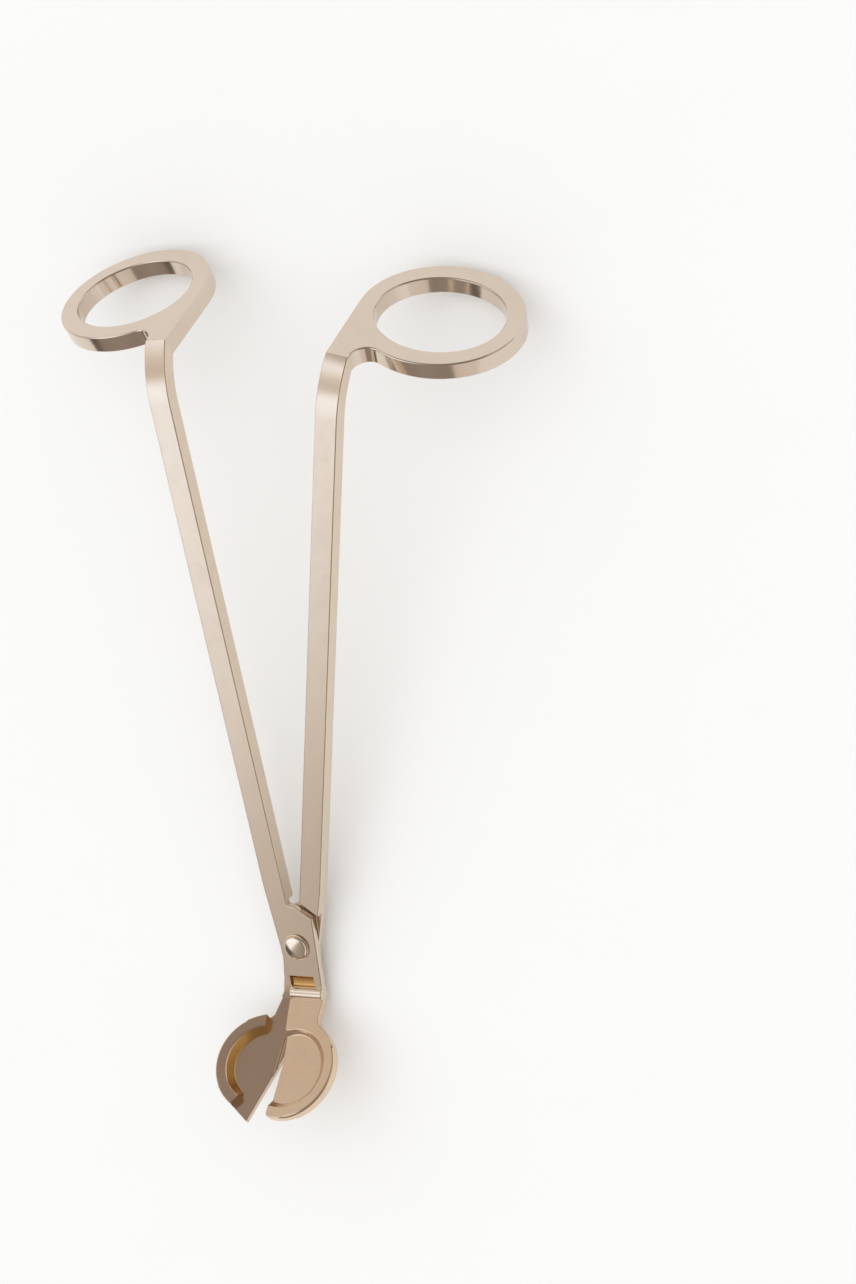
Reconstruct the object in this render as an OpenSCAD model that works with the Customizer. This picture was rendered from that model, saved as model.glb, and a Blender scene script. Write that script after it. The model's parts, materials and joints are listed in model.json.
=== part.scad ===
// Scissor-type wick trimmer: two long bars on one rivet, oval finger rings bent back at the top,
// and a round dish, split into two half-moon blades, bent forward at the bottom.
// Millimetres. It lies on its back on z = 0. +Y runs from the dish to the rings, +Z is up.
// Each half is drawn upright first: x to the right, y to the back, z up from the pivot.
// "Closed" is the position in which the two rings just clear each other.

/* [Bars] */
// Width of each bar across its front face
bar_w = 4.9; // [4.3:0.1:6.5]
// Thickness of each bar, front to back
bar_t = 3.0; // [2.4:0.1:4.2]
// Height of the finger rings' upper face above the pivot
bar_len = 127; // [100:1:155]
// Distance from each bar's inner face to the pivot's centre line
bar_inset = 0.1; // [0.05:0.05:0.6]
// Radius of the backward bend, on the bar's front face
bend_r = 24; // [16:1:34]

/* [Finger rings] */
// Angle between a bar and the face of its ring
ring_tilt = 66; // [52:1:80]
// Ring hole, side to side
hole_w = 26.4; // [20:0.2:34]
// Ring hole, front to back
hole_h = 20.4; // [16:0.2:27]
// Width of the ring's rim
rim_w = 3.7; // [2.6:0.1:5]
// Thickness of the ring plate
ring_t = 3.7; // [2.6:0.1:5]
// How far each ring reaches past the pivot's centre line
ring_past = 0.8; // [0.3:0.1:2]
// Distance along the ring's face from the bar's front plane to the rim
ring_standoff = 5.9; // [4.6:0.1:9]
// Distance along the ring's face from the bar's front plane to the seam
seam_back = 3.6; // [3.2:0.1:4.4]
// Radius of the hollow between a bar's outer side and the rim
crotch_r = 3.2; // [2:0.1:4]

/* [Pivot] */
// Radius of the rivet's shank
rivet_r = 1.6; // [1.2:0.1:2.2]
// Radius of the rivet's head
head_r = 2.9; // [2.5:0.1:3.6]
// Height of the rivet's domed head
head_h = 1.2; // [0.8:0.1:1.6]
// Height of the flat collar round the dome
collar_h = 0.35; // [0.2:0.05:0.5]
// Radius of the washer under the rivet's peened tail
washer_r = 2.8; // [2.5:0.1:3.4]
// Thickness of the washer
washer_t = 0.5; // [0.3:0.05:0.6]
// Height of the rivet's peened tail above the washer
tail_h = 0.45; // [0.3:0.05:0.5]
// Radial clearance of the rivet in the front half
running_gap = 0.05; // [0.02:0.01:0.1]
// Gap between the two halves' lapped faces
lap_gap = 0.1; // [0.06:0.02:0.2]
// Pivot to the outer edge of each lap plate
plate_out = 4.25; // [3.8:0.05:5]
// Pivot to the tip of the shoulder on each lap plate
shoulder_x = 5.2; // [4.6:0.1:6]
// Height of the shoulder at the bar's inner face
shoulder_z = 9.3; // [7.5:0.1:11]
// Height of the shoulder at its tip
shoulder_tip_z = 6.5; // [5:0.1:7.4]
// Clearance from a shoulder to the other bar's step
step_gap = 1.1; // [0.6:0.1:2]

/* [Dish and blades] */
// Outer radius of the dish
dish_r = 10.7; // [9:0.1:14]
// Width of the rim's flat top
dish_rim = 2.2; // [1.6:0.1:3]
// Run of the slope from the rim down to the floor
dish_slope = 1.4; // [0.6:0.1:1.8]
// Angle between the bars and the dish, away from a straight line
dish_tilt = 50; // [40:1:58]
// Distance of the dish's centre below the pivot
dish_down = 21.5; // [20.5:0.1:27]
// Distance of the dish's centre in front of the lapped faces
dish_front = 13.8; // [13:0.1:18]
// Thickness of the upper blade at its rim
upper_t = 2.0; // [1.6:0.1:2.6]
// Depth of the upper blade's recess
recess_h = 1.2; // [0.8:0.1:1.3]
// Gap between the blades
blade_gap = 0.2; // [0.12:0.02:0.4]
// Thickness of the lower blade's floor
lower_t = 1.3; // [1:0.1:1.8]
// How far the upper blade's edge passes the dish's centre
upper_lap = 2.3; // [1.6:0.1:3]
// How far the lower blade's edge passes the dish's centre
lower_lap = 2.0; // [1.4:0.1:2.6]
// Slant of the lower blade's edge
lower_slant = 8.8; // [6:0.1:10]
// Half the width of the necks
neck_half = 3.9; // [3.4:0.1:4.2]
// Radius of the bead across the upper blade's neck
bead_r = 1.05; // [0.8:0.05:1.2]
// Depth of the cutting edge's bevel on the lower blade
bevel = 0.35; // [0.2:0.05:0.5]

/* [Motion] */
// Angle of each bar from the middle as the trimmer lies
rest_half = 8; // [6:0.5:11]
// Gap left between the rings when the trimmer is closed
stop_gap = 0.3; // [0.2:0.1:1]

/* [Hidden] */

arc_steps = 96;   // points round a full oval
fine_fn = 96;     // facets of round cuts; the solids they stand for are true cylinders
halvings = 30;    // rounds of halving in each search for an angle
far = 60;         // reach of the cutting blocks
body_gold = [0.80, 0.73, 0.64];
warm_gold = [0.78, 0.69, 0.56];

// Finger rings, in the plane of their upper face
outer_a = hole_w / 2 + rim_w;
outer_b = hole_h / 2 + rim_w;
ring_u = outer_a - ring_past;
ring_v = ring_standoff + outer_b;
bar_outer = bar_inset + bar_w;

// Angles of the bars, from the rings that just clear each other
closed_half = asin((ring_past + stop_gap / 2) / (bar_len + ring_v * cos(ring_tilt)));
swing = rest_half - closed_half;

// The bend ends where the bar's front face meets the ring's upper face at the seam
bend_angle = acos(1 - seam_back * sin(ring_tilt) / bend_r);
bend_z = bar_len + seam_back * cos(ring_tilt) - bend_r * sin(bend_angle);
bend_spare = 16;

// Lap plates
half_gap = lap_gap / 2;
step_inner_z = shoulder_z + step_gap;
step_outer_z = shoulder_tip_z + 2 * step_gap;
step_knee_x = 3.6;
plate_low_z = -5.5;
taper_z = 14;
neck_rise = 2.4;           // the lap plates narrow to the necks this far above the crease
root_overlap = 0.3;        // how far a neck runs up into its lap plate

// Dish, measured down from the upper blade's rim
front_y = -bar_t / 2;
lower_top = upper_t + blade_gap;
lower_bottom = lower_top + lower_t;
rim_inner_r = dish_r - dish_rim;
floor_r = rim_inner_r - dish_slope;
lower_rim_drop = 0.2;      // the lower blade's rim stands this much below the upper one's
rim_clear = 0.35;          // from the upper blade's closed edge to the ends of the lower rim
function bend_v(depth, y) = (depth * cos(dish_tilt) - dish_front - y) / sin(dish_tilt);
function drop_at(v, depth) = dish_down + v * cos(dish_tilt) + depth * sin(dish_tilt);
crease_v = bend_v(0, front_y);
crease_z = -drop_at(crease_v, 0);
seam_v = crease_v + bead_r;
neck_top_z = crease_z + neck_rise;
// A point of a side outline, as y and z, on the dish's line at a depth below the upper rim
function side_point(v, depth) = [-(dish_front + v * sin(dish_tilt) - depth * cos(dish_tilt)),
                                 -drop_at(v, depth)];

// Upper blade's straight edge: slanted beside the neck, then along the dish
edge_y = 1.5;
neck_flare = 0.3;
edge_slope = (neck_half + neck_flare - upper_lap) / (-seam_v - edge_y);
function upper_edge(y) = [-upper_lap - max(0, y - edge_y) * edge_slope, y];

// Lower blade's tip, where the straight edge meets the line that leaves the circle
tip_leave = 25;
tip_away = dish_r * [-sin(tip_leave), -cos(tip_leave)];
lower_tip_x = (lower_lap - tan(lower_slant) * (tan(tip_leave) * tip_away[0] - tip_away[1]))
    / (1 + tan(lower_slant) * tan(tip_leave));
lower_tip = [lower_tip_x, tip_away[1] - tan(tip_leave) * (lower_tip_x - tip_away[0])];

// The meeting surface of the two halves: flat round the pivot, and a cone about its axis below
cone_r0 = drop_at(bend_v(upper_t + blade_gap / 2, 0), upper_t + blade_gap / 2);
cone_gap = blade_gap / 2 / cos(dish_tilt);
cone_reach = dish_down + 2 * dish_r;

// Lying position: on the neck's rear bend and on the low side of both rings
bend_out_r = 3;            // rounding of the rear bend, on the outside
back_v = bend_v(lower_bottom, bar_t / 2);
back_z = -drop_at(back_v, lower_bottom);
bend_cy = bar_t / 2 - bend_out_r;
bend_cz = back_z + bend_out_r * tan(dish_tilt / 2);
// Height along a lying direction, and the ring's lowest point in it
function ring_du(lie) = -sin(lie) * sin(rest_half);
function ring_dv(lie) = -cos(lie) * sin(ring_tilt) + sin(lie) * cos(ring_tilt) * cos(rest_half);
function ring_mid_y() = front_y + ring_v * sin(ring_tilt) + ring_t * cos(ring_tilt);
function ring_mid_z() = bar_len + ring_v * cos(ring_tilt) - ring_t * sin(ring_tilt);
function ring_low(lie) = -cos(lie) * ring_mid_y()
    + sin(lie) * (ring_mid_z() * cos(rest_half) - ring_u * sin(rest_half))
    - norm([outer_a * ring_du(lie), outer_b * ring_dv(lie)]);
function neck_low(lie) = -cos(lie) * bend_cy
    + sin(lie) * (bend_cz * cos(swing) - neck_half * sin(swing))
    - bend_out_r * norm([cos(lie), sin(lie) * cos(swing)]);
// The lying angle at which the rings and the neck are equally low, found by halving
function lie_angle(lo, hi, n) = n == 0 ? (lo + hi) / 2
    : let (mid = (lo + hi) / 2) ring_low(mid) < neck_low(mid)
        ? lie_angle(mid, hi, n - 1) : lie_angle(lo, mid, n - 1);
lie = lie_angle(4, 24, halvings);
lift = -neck_low(lie);

// Ends of the object along its length, for the origin
ring_end = ring_mid_y() * sin(lie)
    + cos(lie) * (ring_mid_z() * cos(rest_half) - ring_u * sin(rest_half))
    + norm([outer_a * cos(lie) * sin(rest_half),
            outer_b * (sin(ring_tilt) * sin(lie) + cos(ring_tilt) * cos(lie) * cos(rest_half))]);
ring_top_end = ring_end
    - ring_t * (cos(ring_tilt) * sin(lie) - sin(ring_tilt) * cos(lie) * cos(rest_half));
tip_at = side_point(-lower_tip[1], lower_bottom);
dish_end = tip_at[0] * sin(lie)
    + cos(lie) * (tip_at[1] * cos(swing) - lower_tip[0] * sin(swing));
mid_y = (max(ring_end, ring_top_end) + dish_end) / 2;

// An arc of points about a centre
function arc(c, r, a0, a1, n) = [for (i = [0:n]) let (a = a0 + (a1 - a0) * i / n)
    c + r * [cos(a), sin(a)]];
// Points of the ring's outer oval, and the parameter at which its tangent passes through a point
function oval(t, a, b) = [ring_u + a * cos(t), ring_v + b * sin(t)];
function tangent_gap(t, p) = let (q = oval(t, outer_a, outer_b),
    d = [-outer_a * sin(t), outer_b * cos(t)]) (p - q)[0] * d[1] - (p - q)[1] * d[0];
function tangent_at(p, lo, hi, n) = n == 0 ? (lo + hi) / 2
    : let (mid = (lo + hi) / 2) tangent_gap(lo, p) * tangent_gap(mid, p) <= 0
        ? tangent_at(p, lo, mid, n - 1) : tangent_at(p, mid, hi, n - 1);
// The hollow is a circle that touches the bar's outer side and the oval from outside
function unit(d) = d / norm(d);
function hollow_c(t) = oval(t, outer_a, outer_b)
    + crotch_r * unit([outer_b * cos(t), outer_a * sin(t)]);
function hollow_at(lo, hi, n) = n == 0 ? (lo + hi) / 2
    : let (mid = (lo + hi) / 2) hollow_c(mid)[0] < bar_outer + crotch_r
        ? hollow_at(mid, hi, n - 1) : hollow_at(lo, mid, n - 1);

// Frame of a ring plate: x outward, y back along its face, z out of its upper face
module ring_frame() {
    translate([0, front_y, bar_len]) rotate([90 - ring_tilt, 0, 0]) children();
}

// Frame of the dish: x right, y up along its face, z out of the upper blade's rim
module dish_frame() {
    translate([0, -dish_front, -dish_down]) rotate([90 - dish_tilt, 0, 0]) children();
}

// Lays the drawn halves down on their back
module lie_down() {
    translate([0, -mid_y, lift]) rotate([lie - 90, 0, 0]) children();
}

module rear_half() {
    lie_down() rotate([0, swing, 0]) children();
}

module front_half() {
    lie_down() rotate([0, -swing, 0]) children();
}

// The ring plate's outline: straight from the bar's inner corner to the oval, round it, and through
// the hollow back to the bar's outer corner
module ring_outline() {
    inner = [bar_inset, seam_back];
    nearest = 215;            // the oval's point nearest the bar, between the two touching points
    t_in = tangent_at(inner, nearest - 85, nearest, halvings);
    t_out = hollow_at(nearest, nearest + 60, halvings) - 360;
    c = hollow_c(t_out);
    dir = oval(t_out, outer_a, outer_b) - c;
    a_out = atan2(dir[1], dir[0]);
    n = ceil(arc_steps * (t_in - t_out) / 360);
    polygon(concat(
        [inner],
        [for (i = [0:n - 1]) oval(t_in + (t_out - t_in) * i / n, outer_a, outer_b)],
        arc(c, crotch_r, a_out, 180, 12),
        [[bar_outer, seam_back]]));
}

// A finger ring for a bar on the right; it is mirrored for the left one
module finger_ring() {
    rotate([0, closed_half, 0]) ring_frame() translate([0, 0, -ring_t]) linear_extrude(ring_t)
        difference() {
            ring_outline();
            polygon([for (i = [0:arc_steps - 1]) oval(360 * i / arc_steps, hole_w / 2, hole_h / 2)]);
        }
}

// A right-hand bar with its bend, cut off at the ring's seam
module bar_and_bend() {
    translate([bar_inset, -bar_t / 2, step_inner_z])
        cube([bar_w, bar_t, bend_z - step_inner_z]);
    intersection() {
        translate([bar_outer, front_y + bend_r, bend_z]) rotate([90, 0, -90])
            rotate_extrude(angle = bend_angle + bend_spare, $fn = 4 * fine_fn)
                translate([bend_r - bar_t, 0]) square([bar_t, bar_w]);
        ring_frame() translate([-far / 2, seam_back - far, -far / 2]) cube([far, far, far]);
    }
}

// The lap plate of the front half, whose bar is on the left
module lap_outline() {
    corner_run = 1.6;         // the shoulder's upper corner, across from the bar's inner face
    corner_drop = 0.4;
    corner_rise = 0.3;        // rise of the shoulder where it meets the bar
    polygon([[-bar_outer, taper_z], [-plate_out, 0], [-plate_out, plate_low_z],
             [-neck_half, neck_top_z], [neck_half, neck_top_z], [shoulder_x, shoulder_tip_z],
             [bar_inset + corner_run, shoulder_z - corner_drop],
             [-bar_inset, shoulder_z + corner_rise], [-bar_inset, taper_z]]);
}

// The foot of the front half's bar behind its lap plate, down to the step that clears the other half
module step_outline() {
    side_ease = 0.15;         // the bar's side tapers by this much down to the step
    knee_rise = 0.2;
    polygon([[-bar_outer, taper_z], [-bar_outer + side_ease, step_outer_z],
             [-step_knee_x, step_outer_z + knee_rise], [-bar_inset, step_inner_z],
             [-bar_inset, taper_z]]);
}

// Lap plate and foot of the bar; the rear half's are the same, turned half round
module lap() {
    translate([0, -half_gap, 0]) rotate([90, 0, 0])
        linear_extrude(bar_t / 2 - half_gap) lap_outline();
    translate([0, bar_t / 2, 0]) rotate([90, 0, 0]) linear_extrude(bar_t) step_outline();
}

// Solid of a side outline in y and z, as wide as a neck
module side_slab(points) {
    translate([-neck_half, 0, 0]) rotate([90, 0, 90]) linear_extrude(2 * neck_half)
        polygon(points);
}

// Everything behind the cone on which the lower blade moves
module behind_meeting() {
    rotate([-90, 0, 0]) rotate_extrude($fn = fine_fn)
        polygon([[0, -half_gap], [cone_r0 - (cone_gap - half_gap) / tan(dish_tilt), -half_gap],
                 [cone_reach, -(cone_reach - cone_r0) * tan(dish_tilt) - cone_gap],
                 [cone_reach, far], [0, far]]);
}

module front_shank() color(body_gold) front_half() difference() {
    union() {
        mirror([1, 0, 0]) rotate([0, closed_half, 0]) bar_and_bend();
        rotate([0, -closed_half, 0]) lap();
        front_neck();
    }
    intersection() {
        behind_meeting();
        translate([-far / 2, -far / 2, crease_z - far]) cube([far, far, far]);
    }
    translate([0, bar_t, 0]) rotate([90, 0, 0])
        cylinder(h = 2 * bar_t, r = rivet_r + running_gap, $fn = fine_fn);
}

// The bend below the front lap plate, with the bead that stiffens it
module front_neck() {
    side_slab([[front_y, neck_top_z + root_overlap], side_point(crease_v, 0), side_point(seam_v, 0),
               side_point(seam_v, upper_t), side_point(bend_v(upper_t, -half_gap), upper_t),
               [-half_gap, neck_top_z + root_overlap]]);
    translate([-neck_half, front_y, crease_z]) rotate([0, 90, 0])
        cylinder(h = 2 * neck_half, r = bead_r, $fn = fine_fn);
}

module rear_shank() color(body_gold) rear_half() difference() {
    union() {
        rotate([0, closed_half, 0]) bar_and_bend();
        rotate([0, closed_half, 0]) rotate([0, 0, 180]) lap();
        rear_neck();
    }
    translate([0, bar_t, 0]) rotate([90, 0, 0]) cylinder(h = 2 * bar_t, r = rivet_r, $fn = fine_fn);
}

// The bend below the rear lap plate, rounded on the outside, where the trimmer rests
module rear_neck() {
    round_n = 8;
    side_slab(concat([[bar_t / 2, neck_top_z + root_overlap], [half_gap, neck_top_z + root_overlap],
                      side_point(bend_v(lower_top, half_gap), lower_top),
                      side_point(seam_v, lower_top), side_point(seam_v, lower_bottom)],
                     arc([bend_cy, bend_cz], bend_out_r, -dish_tilt, 0, round_n)));
}

module front_finger_ring() color(body_gold) front_half() mirror([1, 0, 0]) finger_ring();

module rear_finger_ring() color(body_gold) rear_half() finger_ring();

// The upper blade: neck, half-moon and straight edge, seen from above with y up the neck
module upper_outline() {
    tip_r = 0.9;
    side_r = 3;
    arc_skip = 2;             // the rim's arc starts this many degrees past the rounded tip
    tip_c = [-upper_lap + tip_r, -sqrt(pow(dish_r - tip_r, 2) - pow(upper_lap - tip_r, 2))];
    tip_a = atan2(tip_c[1], tip_c[0]) + 360;
    side_c = [neck_half + side_r, sqrt(pow(dish_r + side_r, 2) - pow(neck_half + side_r, 2))];
    side_a = atan2(side_c[1], side_c[0]) + 360;
    polygon(concat(
        [upper_edge(-seam_v), upper_edge(edge_y)],
        arc(tip_c, tip_r, 180, tip_a, 8),
        arc([0, 0], dish_r, tip_a + arc_skip, side_a, 48),
        arc(side_c, side_r, side_a - 180, 180, 8),
        [[neck_half, -seam_v]]));
}

module front_blade() color(warm_gold) front_half() difference() {
    slot_back = 0.4;          // the recess runs out at the straight edge this far inside its rim
    side_spare = 0.2;
    dish_frame() difference() {
        translate([0, 0, -upper_t]) linear_extrude(upper_t) upper_outline();
        translate([0, 0, -recess_h])
            cylinder(h = recess_h, r1 = floor_r, r2 = rim_inner_r, $fn = fine_fn);
        translate([-far, 0, -recess_h]) cube([far - upper_lap / 2, rim_inner_r - slot_back, far]);
    }
    intersection() {
        behind_meeting();
        translate([-far, -far, -far]) cube([far + neck_half + side_spare, 2 * far, far]);
    }
}

// Fillet on the left between the lower blade's neck and its rim, as radius, neck side and centre
lower_side_r = 1.2;
lower_neck_x = -neck_half + 0.4;
lower_side_c = [lower_neck_x - lower_side_r,
                sqrt(pow(dish_r + lower_side_r, 2) - pow(lower_neck_x - lower_side_r, 2))];

// The lower blade: neck, half-moon and slanted straight edge that ends in a pointed tip
module lower_outline() {
    edge_top = 11;            // top of the straight edge
    edge_ease = 0.2;          // it turns by this much towards the neck there
    edge_run = 2.4;           // and reaches the neck's side this far above
    tip_cut = 0.3;            // the point is blunted by a short cut
    tip_blunt = 0.25;
    side_a = atan2(lower_side_c[1], lower_side_c[0]);
    polygon(concat(
        [[neck_half, -seam_v], [lower_neck_x, -seam_v]],
        arc(lower_side_c, lower_side_r, 0, side_a - 180, 6),
        arc([0, 0], dish_r, side_a, 270 - tip_leave, 40),
        [lower_tip + [-tip_cut, tip_cut * tan(tip_leave)], lower_tip + [0, tip_blunt],
         [lower_lap + tan(lower_slant) * edge_top - edge_ease, edge_top],
         [neck_half, edge_top + edge_run]]));
}

// Where no rim stands on the lower blade, so that the upper one can close over it
module no_rim_outline() {
    start_out = lower_side_c * dish_r / norm(lower_side_c);
    rim_end = [1.1, 1.9];     // run of the rim's lower end, from inside to outside
    end_ease = 1.4;
    start_in = upper_edge(floor_r) - [rim_clear, 0];
    end_in = upper_edge(-rim_inner_r) - [rim_clear, 0];
    end_out = end_in - rim_end;
    polygon([[far, far], [-far, far], [-far, start_out[1]], start_out, start_in, [-rim_clear, 0],
             end_in + [0, end_ease], end_in, end_out, end_out - [0, far], [far, -far]]);
}

module rear_blade() color(warm_gold) rear_half() dish_frame() difference() {
    translate([0, 0, -lower_bottom]) linear_extrude(lower_bottom - lower_rim_drop)
        lower_outline();
    translate([0, 0, -lower_top])
        cylinder(h = lower_top, r1 = floor_r, r2 = rim_inner_r, $fn = fine_fn);
    translate([0, 0, -lower_top]) linear_extrude(far) no_rim_outline();
    edge_bevel();
}

// A long block that cuts the bevel along the lower blade's straight edge
module edge_bevel() {
    translate([lower_lap, 0, -lower_top]) rotate([0, 0, lower_slant]) rotate([0, 45, 0])
        translate([-bevel / 2, -far, -bevel / 2]) cube([bevel, 2 * far, bevel]);
}

module pivot_rivet() color(warm_gold) rear_half() rotate([90, 0, 0]) rivet_turned();

// Rivet turned about the pivot axis, with the head towards the front
module rivet_turned() {
    back = -bar_t / 2 - washer_t;
    front = bar_t / 2 + half_gap;
    collar_w = 0.5;           // width of the collar round the dome
    tail_spread = 0.6;        // how far the peened tail spreads past the shank
    dome_r = head_r - collar_w;
    dome_h = head_h - collar_h;
    cap_r = (dome_r * dome_r + dome_h * dome_h) / (2 * dome_h);
    cap_a = asin(dome_r / cap_r);
    tail_r = rivet_r + tail_spread;
    tail_cap = (tail_r * tail_r + tail_h * tail_h) / (2 * tail_h);
    tail_a = asin(tail_r / tail_cap);
    rotate_extrude($fn = fine_fn) polygon(concat(
        arc([0, back - tail_h + tail_cap], tail_cap, -90, tail_a - 90, 10),
        [[rivet_r, back], [rivet_r, front], [head_r, front], [head_r, front + collar_h]],
        arc([0, front + head_h - cap_r], cap_r, 90 - cap_a, 90, 12)));
}

module rivet_washer() color(warm_gold) rear_half() translate([0, bar_t / 2 + washer_t, 0])
    rotate([90, 0, 0]) difference() {
        cylinder(h = washer_t, r = washer_r, $fn = fine_fn);
        translate([0, 0, -washer_t]) cylinder(h = 3 * washer_t, r = rivet_r, $fn = fine_fn);
    }

rear_shank();
rear_finger_ring();
rear_blade();
pivot_rivet();
rivet_washer();
front_shank();
front_finger_ring();
front_blade();
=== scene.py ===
import json
import math
import bmesh
import bpy
from mathutils import Matrix, Vector


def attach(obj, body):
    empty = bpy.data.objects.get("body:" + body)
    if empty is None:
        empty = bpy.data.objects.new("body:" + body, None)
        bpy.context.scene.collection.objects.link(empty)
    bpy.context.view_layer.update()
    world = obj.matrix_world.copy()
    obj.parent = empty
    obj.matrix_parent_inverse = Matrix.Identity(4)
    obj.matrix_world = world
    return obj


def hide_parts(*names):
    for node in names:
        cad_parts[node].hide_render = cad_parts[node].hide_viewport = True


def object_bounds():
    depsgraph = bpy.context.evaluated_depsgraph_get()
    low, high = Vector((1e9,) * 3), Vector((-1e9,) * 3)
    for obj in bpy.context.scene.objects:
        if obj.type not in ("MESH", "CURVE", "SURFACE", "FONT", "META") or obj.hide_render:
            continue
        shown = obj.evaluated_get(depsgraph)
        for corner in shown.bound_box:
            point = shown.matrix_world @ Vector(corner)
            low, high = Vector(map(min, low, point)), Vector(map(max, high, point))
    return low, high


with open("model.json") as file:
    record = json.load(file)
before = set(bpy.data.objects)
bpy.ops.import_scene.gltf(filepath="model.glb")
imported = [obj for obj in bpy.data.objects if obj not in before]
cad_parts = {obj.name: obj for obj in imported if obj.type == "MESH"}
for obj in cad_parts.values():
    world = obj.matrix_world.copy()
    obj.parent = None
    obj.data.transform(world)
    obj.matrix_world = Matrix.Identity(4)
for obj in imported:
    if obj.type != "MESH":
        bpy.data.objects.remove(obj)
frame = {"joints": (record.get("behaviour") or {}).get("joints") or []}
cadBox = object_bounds()
hinge = frame["joints"][0]

# Lengths are in millimetres up to the moment a piece is laid in its place
mm = 0.001
curveSteps = 8       # of small rounded corners

bar = {
    "width": 4.9,
    "thick": 3.0,
    "length": 127.0,       # pivot to the upper face of the rings
    "inset": 0.1,          # from the middle line to each bar's inner side
    "bendRadius": 24.0,
    "bendSteps": 28,
    "restAngle": 8.0,      # each bar's lean as the trimmer lies open
    "edge": 0.26,
}

ring = {
    "tilt": 66.0,
    "holeWide": 26.4,
    "holeHigh": 20.4,
    "rim": 3.7,
    "thick": 3.7,
    "past": 0.8,           # overhang beyond the middle line
    "standoff": 5.9,
    "seamBack": 3.6,       # where the bar ends and the plate begins
    "crotch": 3.2,
    "stopGap": 0.3,
    "steps": 112,
    "seamStrips": (10, 8),   # this many, before and past the seam's inner corner, are one face
    "edge": 0.3,
}

lap = {
    "gap": 0.1,
    "out": 4.25,
    "lowZ": -5.5,
    "taperZ": 14.0,
    "shoulder": (5.2, 6.5),
    "shoulderZ": 9.3,
    "shoulderIn": 1.6,     # the shoulder's line changes here, past the inner side
    "shoulderDip": 0.4,
    "shoulderRise": 0.3,
    "stepGap": 1.1,
    "stepRise": 0.2,
    "kneeX": 3.6,
    "topZ": -8.8,          # where the plate ends and the neck begins
    "neckStart": 0.3,      # from there to the neck's first row
}

rivet = {
    "shank": 1.6,
    "head": 2.9,
    "headHigh": 1.2,
    "dome": 2.6,           # radius of the dome inside the flat collar
    "collarHigh": 0.34,
    "domeRound": 0.45,     # the dome's side stands up before it rounds over
    "crown": 0.22,         # height of the dome's nearly flat top
    "crownStart": 78,
    "collarFoot": 0.12,
    "collarLip": 0.1,
    "groove": 0.1,         # between the collar and the dome
    "bore": 0.05,          # clearance in the front half
    "tail": 2.2,
    "tailHigh": 0.45,
    "edge": 0.05,
    "sharpest": 50,        # corners flatter than this, in degrees, stay as drawn
    "washer": 2.8,
    "washerThick": 0.5,
    "washerRound": 0.12,
    "steps": 96,
}

dish = {
    "radius": 10.7,
    "rim": 2.2,
    "slope": 1.4,
    "tilt": 50.0,
    "down": 21.5,
    "front": 13.8,
    "bead": 1.05,          # from the crease to the seam with the blade
    "beadRound": 1.45,     # the bead's radius, and its centre up and back from the crease
    "beadUp": 0.33,
    "beadIn": 0.35,
    "beadSteps": 20,
    "neckHalf": 3.9,
    "steps": 120,
}

upperBlade = {
    "thick": 2.0,
    "recess": 1.2,
    "lap": 2.3,
    "edgeY": 1.5,          # the straight edge starts to slant above this
    "flare": 0.3,
    "tipRound": 0.9,
    "sideRound": 3.0,
    "endWall": 0.75,       # the recess ends more steeply towards the neck
    "coneSide": 4.1,       # the cone behind cuts nothing to the right of this
    "edge": 0.18,
    "rimEdge": 0.6,
    "rimRun": (-102, 52),  # the rounding's ends round the rim, in degrees
}

lowerBlade = {
    "gap": 0.2,
    "thick": 1.3,
    "lap": 2.0,
    "slant": 8.8,
    "tipLeave": 25.0,
    "rimDrop": 0.2,
    "rimClear": 0.35,
    "rimStart": 9.87,      # height at which the rim starts beside the neck
    "rimEnd": (1.1, 1.9),  # its end near the tip slopes by this much
    "rimEndRise": 1.4,
    "lip": 0.55,
    "bevel": 0.35,
    "neckIn": 0.4,
    "edgeTop": 11.0,       # the straight edge ends here, below the neck's corner
    "edgeBack": (0.2, 2.4),
    "tipBlunt": (0.3, 0.25),
    "sideRound": 1.2,
    "bendRound": 3.0,
    "bendSteps": 18,
    "edge": 0.15,
    "rimEdge": 0.42,
    "rimRun": (118, 242),
}


def sind(a):
    return math.sin(math.radians(a))


def cosd(a):
    return math.cos(math.radians(a))


def tand(a):
    return math.tan(math.radians(a))


# ---- the frames that the pieces are drawn in ----
frontY = -bar["thick"] / 2
outerA = ring["holeWide"] / 2 + ring["rim"]
outerB = ring["holeHigh"] / 2 + ring["rim"]
ringU = outerA - ring["past"]
ringV = ring["standoff"] + outerB
barOuter = bar["inset"] + bar["width"]
closedHalf = math.degrees(math.asin(
    (ring["past"] + ring["stopGap"] / 2) / (bar["length"] + ringV * cosd(ring["tilt"]))))
swing = bar["restAngle"] - closedHalf


def turn(angle, axis):
    return Matrix.Rotation(math.radians(angle), 4, axis)


# Upright: x to the right, y to the back, z up the bars, from the pivot
pivotAxis = Vector(hinge["axis"])
lie = math.degrees(math.atan2(-pivotAxis.y, pivotAxis.z))
upright = Matrix.Translation(hinge["pos_m"]) @ turn(lie - 90, "X") @ Matrix.Scale(mm, 4)
halves = {"rear_half": upright @ turn(swing, "Y"), "front_half": upright @ turn(-swing, "Y")}
ringPlane = Matrix.Translation((0, frontY, bar["length"])) @ turn(90 - ring["tilt"], "X")
dishPlane = Matrix.Translation((0, -dish["front"], -dish["down"])) @ turn(90 - dish["tilt"], "X")
flip = Matrix.Scale(-1, 4, (1, 0, 0))


# ---- drawing and cutting solids ----
def arc(centre, radius, start, end, steps):
    return [(centre[0] + radius * cosd(start + (end - start) * i / steps),
             centre[1] + radius * sind(start + (end - start) * i / steps)) for i in range(steps + 1)]


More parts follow.
